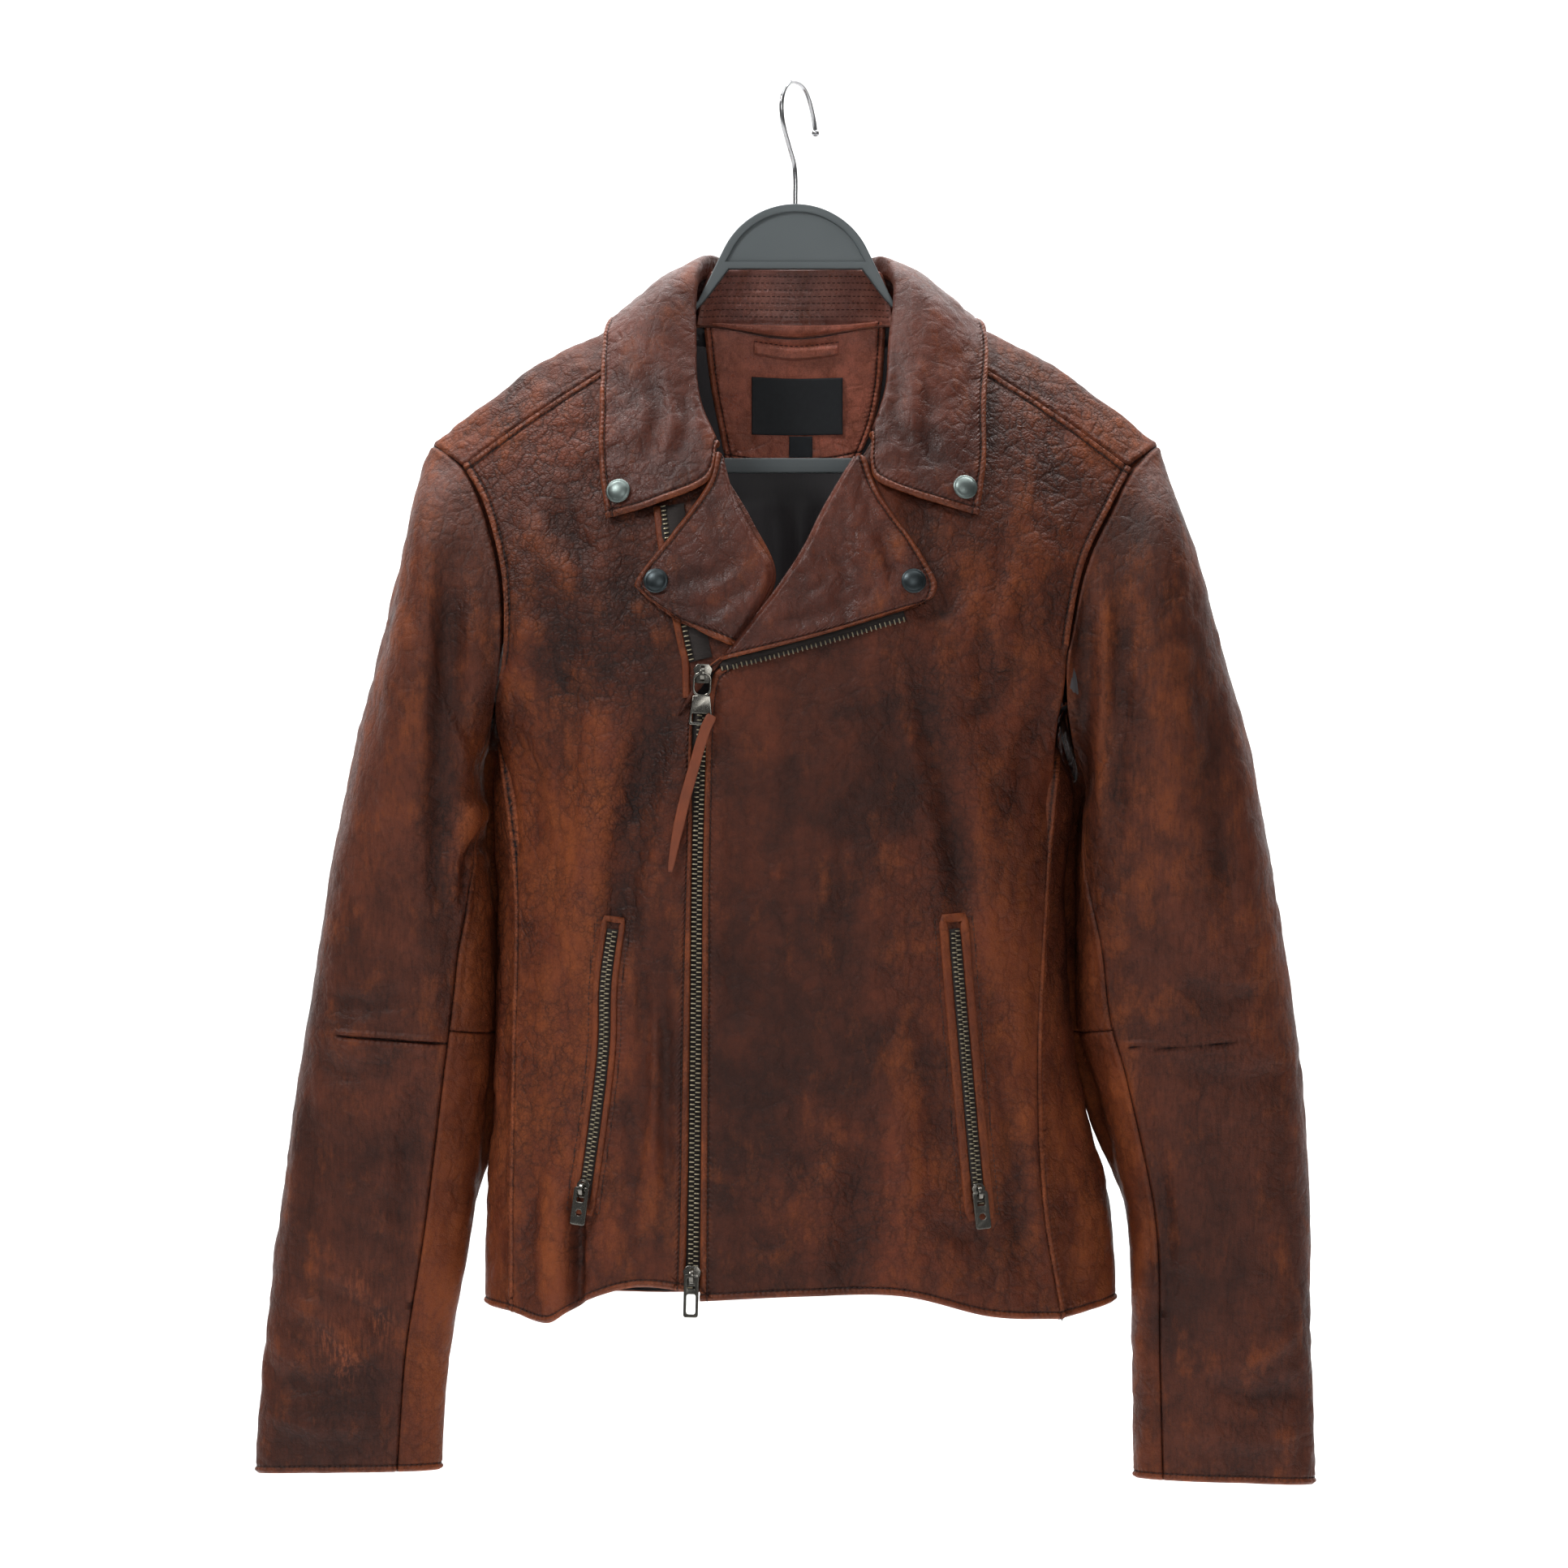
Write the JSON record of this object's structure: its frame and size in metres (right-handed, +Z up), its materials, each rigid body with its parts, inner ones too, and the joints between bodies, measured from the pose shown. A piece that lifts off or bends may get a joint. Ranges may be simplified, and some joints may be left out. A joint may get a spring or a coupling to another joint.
{
  "type": "leather jacket on a hanger",
  "caption": "Worn biker-style leather jacket with snap collar and lapels, off-centre two-way zip, slanted zip pockets, hanging zipped on a plastic hanger with a wire hook.",
  "frame": {"origin": "underside of the crown of the hanger's hook, where a rail carries it", "axes": "+Z up, -Y out of the jacket's front, +X towards the wearer's left"},
  "size_m": [0.6527, 0.1864, 0.8649],
  "materials": {
    "leather": "worn, creased, waxy",
    "lining": "matt twill",
    "zip_tape": "woven, with metal teeth",
    "label": "woven, bare",
    "thong": "cut lace",
    "antique_nickel": "antique nickel",
    "hook_wire": "plated wire",
    "hanger": "moulded, slate grey"
  },
  "bodies": {
    "jacket": {"front_r": "leather", "front_l": "leather", "back": "leather", "yoke_r": "leather", "yoke_l": "leather", "sleeve_outer_top_r": "leather", "sleeve_outer_low_r": "leather", "sleeve_under_top_r": "leather", "sleeve_under_low_r": "leather", "sleeve_outer_top_l": "leather", "sleeve_outer_low_l": "leather", "sleeve_under_top_l": "leather", "sleeve_under_low_l": "leather", "lapel_r": "leather", "lapel_l": "leather", "pocket_welt_r": "leather", "pocket_welt_l": "leather", "collar": "leather", "collar_stand": "leather", "neck_facing": "leather", "hang_loop": "leather", "zip_main": "zip_tape", "zip_open_r": "zip_tape", "zip_open_l": "zip_tape", "pocket_zip_r": "zip_tape", "pocket_zip_l": "zip_tape", "slider_main": "antique_nickel", "slider_low": "antique_nickel", "slider_pocket_r": "antique_nickel", "slider_pocket_l": "antique_nickel", "snap_lapel_r": "antique_nickel", "snap_lapel_l": "antique_nickel", "snap_collar_r": "antique_nickel", "snap_collar_l": "antique_nickel", "lining_back": "lining", "label": "label", "size_tag": "label", "hanger": "hanger", "hook": "hook_wire"},
    "pull_main": {"pull_main": "antique_nickel", "thong": "thong"},
    "pull_low": {"pull_low": "antique_nickel"},
    "pull_pocket_r": {"pull_pocket_r": "antique_nickel"},
    "pull_pocket_l": {"pull_pocket_l": "antique_nickel"}
  },
  "joints": [
    {"name": "hinge_main", "type": "hinge", "parent": "jacket", "child": "pull_main", "pos_m": [-0.056, -0.09229, -0.36452], "axis": [-0.9963, 0.0762, 0.0399], "range_deg": [0, 60]},
    {"name": "hinge_low", "type": "hinge", "parent": "jacket", "child": "pull_low", "pos_m": [-0.06266, -0.09037, -0.7273], "axis": [-0.9932, 0.1145, 0.0199], "range_deg": [0, 75]},
    {"name": "hinge_pocket_r", "type": "hinge", "parent": "jacket", "child": "pull_pocket_r", "pos_m": [-0.12922, -0.07419, -0.67582], "axis": [-0.9301, 0.3465, 0.1216], "range_deg": [0, 75]},
    {"name": "hinge_pocket_l", "type": "hinge", "parent": "jacket", "child": "pull_pocket_l", "pos_m": [0.11118, -0.08068, -0.67774], "axis": [-0.9628, -0.2524, -0.0966], "range_deg": [0, 75]}
  ]
}
